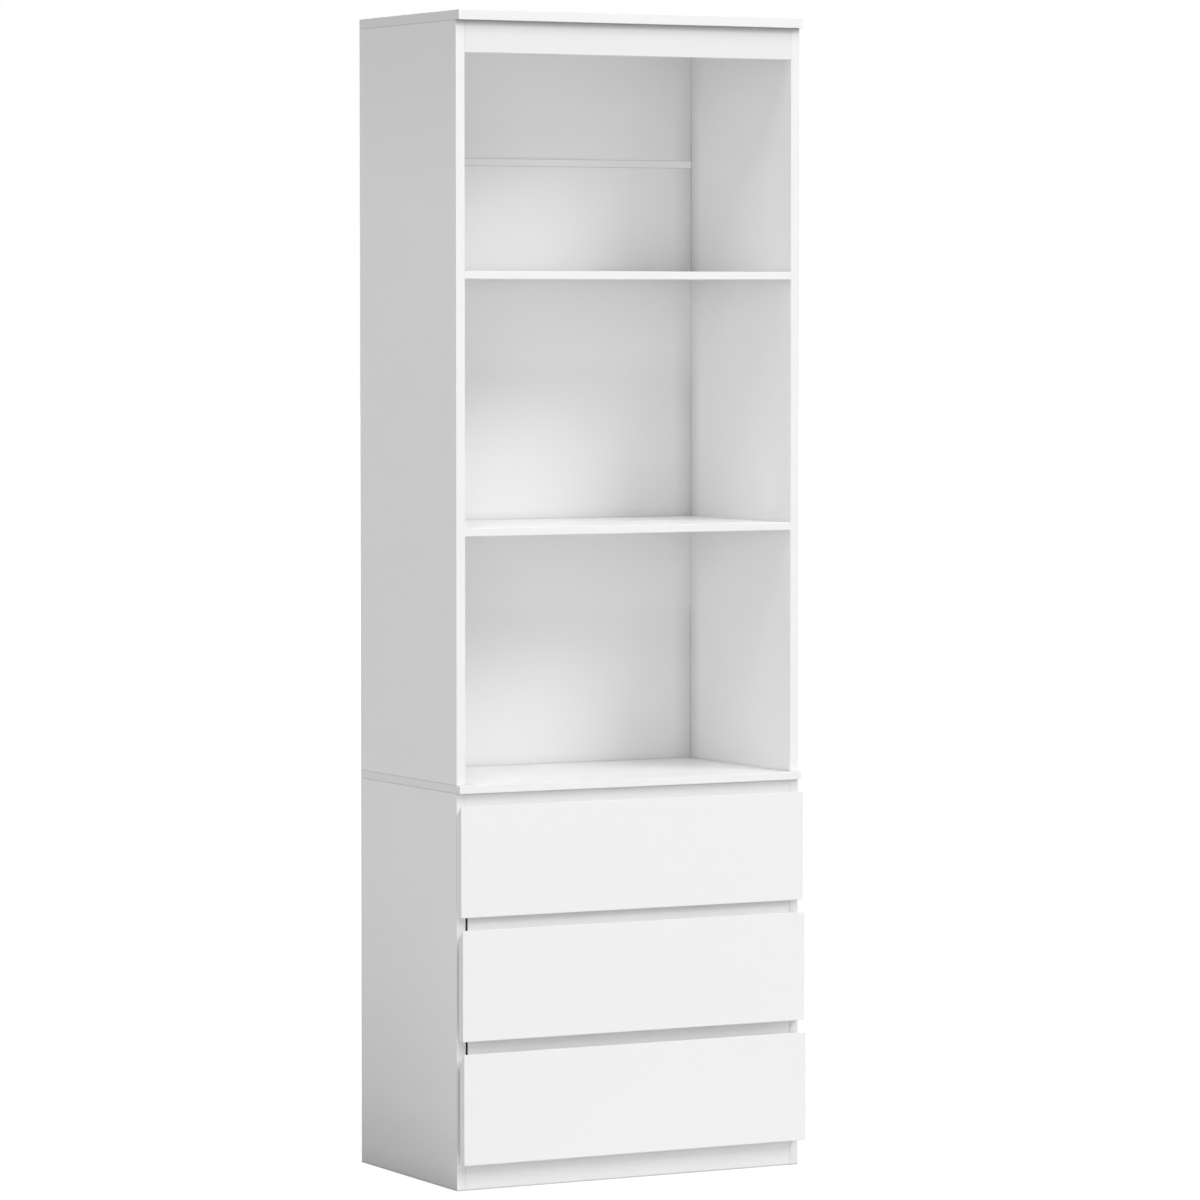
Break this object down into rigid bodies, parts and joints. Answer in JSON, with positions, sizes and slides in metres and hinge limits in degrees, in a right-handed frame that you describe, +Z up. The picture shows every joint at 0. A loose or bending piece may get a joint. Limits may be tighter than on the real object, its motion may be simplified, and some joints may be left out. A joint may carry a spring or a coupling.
{
  "type": "bookcase with drawers",
  "caption": "Tall white bookcase with open compartments over a chest of full-width drawers on roller runners, opened by a bevelled finger edge.",
  "frame": {"origin": "on the floor, under the middle of the whole piece's bounding box", "axes": "+X to the right as seen from the front, +Y to the back, +Z up; the drawers open towards -Y"},
  "size_m": [0.6, 0.3668, 1.802],
  "materials": {
    "white_board": "white melamine faced particle board with white edge strips, satin",
    "white_hardboard": "white lacquered thin fibreboard, smooth side inwards",
    "white_strip": "white extruded plastic, satin",
    "coated_steel": "white epoxy powder coated sheet steel",
    "nylon": "moulded nylon, off-white",
    "plain_steel": "zinc plated steel",
    "zinc_casting": "die-cast zinc alloy, dull",
    "beech": "plain fluted beech"
  },
  "bodies": {
    "carcass": {"top_panel": "white_board", "middle_panel": "white_board", "left_upper_side": "white_board", "right_upper_side": "white_board", "left_lower_side": "white_board", "right_lower_side": "white_board", "upper_shelf": "white_board", "lower_shelf": "white_board", "top_front_rail": "white_board", "chest_front_rail": "white_board", "upper_drawer_rail": "white_board", "lower_drawer_rail": "white_board", "front_plinth": "white_board", "rear_plinth": "white_board", "upper_back_panel": "white_hardboard", "main_back_panel": "white_hardboard", "chest_back_panel": "white_hardboard", "back_joining_strip": "white_strip", "back_tie_plates": "plain_steel", "cam_locks": "zinc_casting", "cam_bolts": "plain_steel", "wooden_dowels": "beech", "cabinet_roller_pins": "plain_steel", "upper_left_cabinet_runner": "coated_steel", "upper_right_cabinet_runner": "coated_steel", "middle_left_cabinet_runner": "coated_steel", "middle_right_cabinet_runner": "coated_steel", "lower_left_cabinet_runner": "coated_steel", "lower_right_cabinet_runner": "coated_steel"},
    "upper_drawer": {"upper_drawer_front": "white_board", "upper_drawer_left_side": "white_board", "upper_drawer_right_side": "white_board", "upper_drawer_back": "white_board", "upper_drawer_bottom": "white_hardboard", "upper_left_drawer_runner": "coated_steel", "upper_right_drawer_runner": "coated_steel", "upper_drawer_roller_pins": "plain_steel"},
    "middle_drawer": {"middle_drawer_front": "white_board", "middle_drawer_left_side": "white_board", "middle_drawer_right_side": "white_board", "middle_drawer_back": "white_board", "middle_drawer_bottom": "white_hardboard", "middle_left_drawer_runner": "coated_steel", "middle_right_drawer_runner": "coated_steel", "middle_drawer_roller_pins": "plain_steel"},
    "lower_drawer": {"lower_drawer_front": "white_board", "lower_drawer_left_side": "white_board", "lower_drawer_right_side": "white_board", "lower_drawer_back": "white_board", "lower_drawer_bottom": "white_hardboard", "lower_left_drawer_runner": "coated_steel", "lower_right_drawer_runner": "coated_steel", "lower_drawer_roller_pins": "plain_steel"},
    "upper_cabinet_rollers": {"upper_cabinet_rollers": "nylon"},
    "upper_drawer_rollers": {"upper_drawer_rollers": "nylon"},
    "middle_cabinet_rollers": {"middle_cabinet_rollers": "nylon"},
    "middle_drawer_rollers": {"middle_drawer_rollers": "nylon"},
    "lower_cabinet_rollers": {"lower_cabinet_rollers": "nylon"},
    "lower_drawer_rollers": {"lower_drawer_rollers": "nylon"}
  },
  "joints": [
    {"name": "upper_drawer_slide", "type": "slide", "parent": "carcass", "child": "upper_drawer", "axis": [0, -1, 0], "range_m": [0, 0.225]},
    {"name": "middle_drawer_slide", "type": "slide", "parent": "carcass", "child": "middle_drawer", "axis": [0, -1, 0], "range_m": [-0.0055, 0.2195]},
    {"name": "lower_drawer_slide", "type": "slide", "parent": "carcass", "child": "lower_drawer", "axis": [0, -1, 0], "range_m": [-0.0095, 0.2155]},
    {"name": "upper_cabinet_roller_spin", "type": "hinge", "parent": "carcass", "child": "upper_cabinet_rollers", "pos_m": [0, -0.14313, 0.4525], "axis": [1, 0, 0], "range_deg": [-5, 1440]},
    {"name": "upper_drawer_roller_spin", "type": "hinge", "parent": "upper_drawer", "child": "upper_drawer_rollers", "pos_m": [0, 0.13337, 0.4505], "axis": [1, 0, 0], "range_deg": [-5, 1440]},
    {"name": "middle_cabinet_roller_spin", "type": "hinge", "parent": "carcass", "child": "middle_cabinet_rollers", "pos_m": [0, -0.14313, 0.263], "axis": [1, 0, 0], "range_deg": [-40, 1400]},
    {"name": "middle_drawer_roller_spin", "type": "hinge", "parent": "middle_drawer", "child": "middle_drawer_rollers", "pos_m": [0, 0.12787, 0.261], "axis": [1, 0, 0], "range_deg": [-40, 1400]},
    {"name": "lower_cabinet_roller_spin", "type": "hinge", "parent": "carcass", "child": "lower_cabinet_rollers", "pos_m": [0, -0.14313, 0.0735], "axis": [1, 0, 0], "range_deg": [-65, 1380]},
    {"name": "lower_drawer_roller_spin", "type": "hinge", "parent": "lower_drawer", "child": "lower_drawer_rollers", "pos_m": [0, 0.12387, 0.0715], "axis": [1, 0, 0], "range_deg": [-65, 1380]}
  ],
  "couplings": [
    {"joint": "upper_cabinet_roller_spin", "follows": "upper_drawer_slide", "rad_per_m": 111.11},
    {"joint": "upper_drawer_roller_spin", "follows": "upper_drawer_slide", "rad_per_m": 111.11},
    {"joint": "middle_cabinet_roller_spin", "follows": "middle_drawer_slide", "rad_per_m": 111.11},
    {"joint": "middle_drawer_roller_spin", "follows": "middle_drawer_slide", "rad_per_m": 111.11},
    {"joint": "lower_cabinet_roller_spin", "follows": "lower_drawer_slide", "rad_per_m": 111.11},
    {"joint": "lower_drawer_roller_spin", "follows": "lower_drawer_slide", "rad_per_m": 111.11}
  ]
}
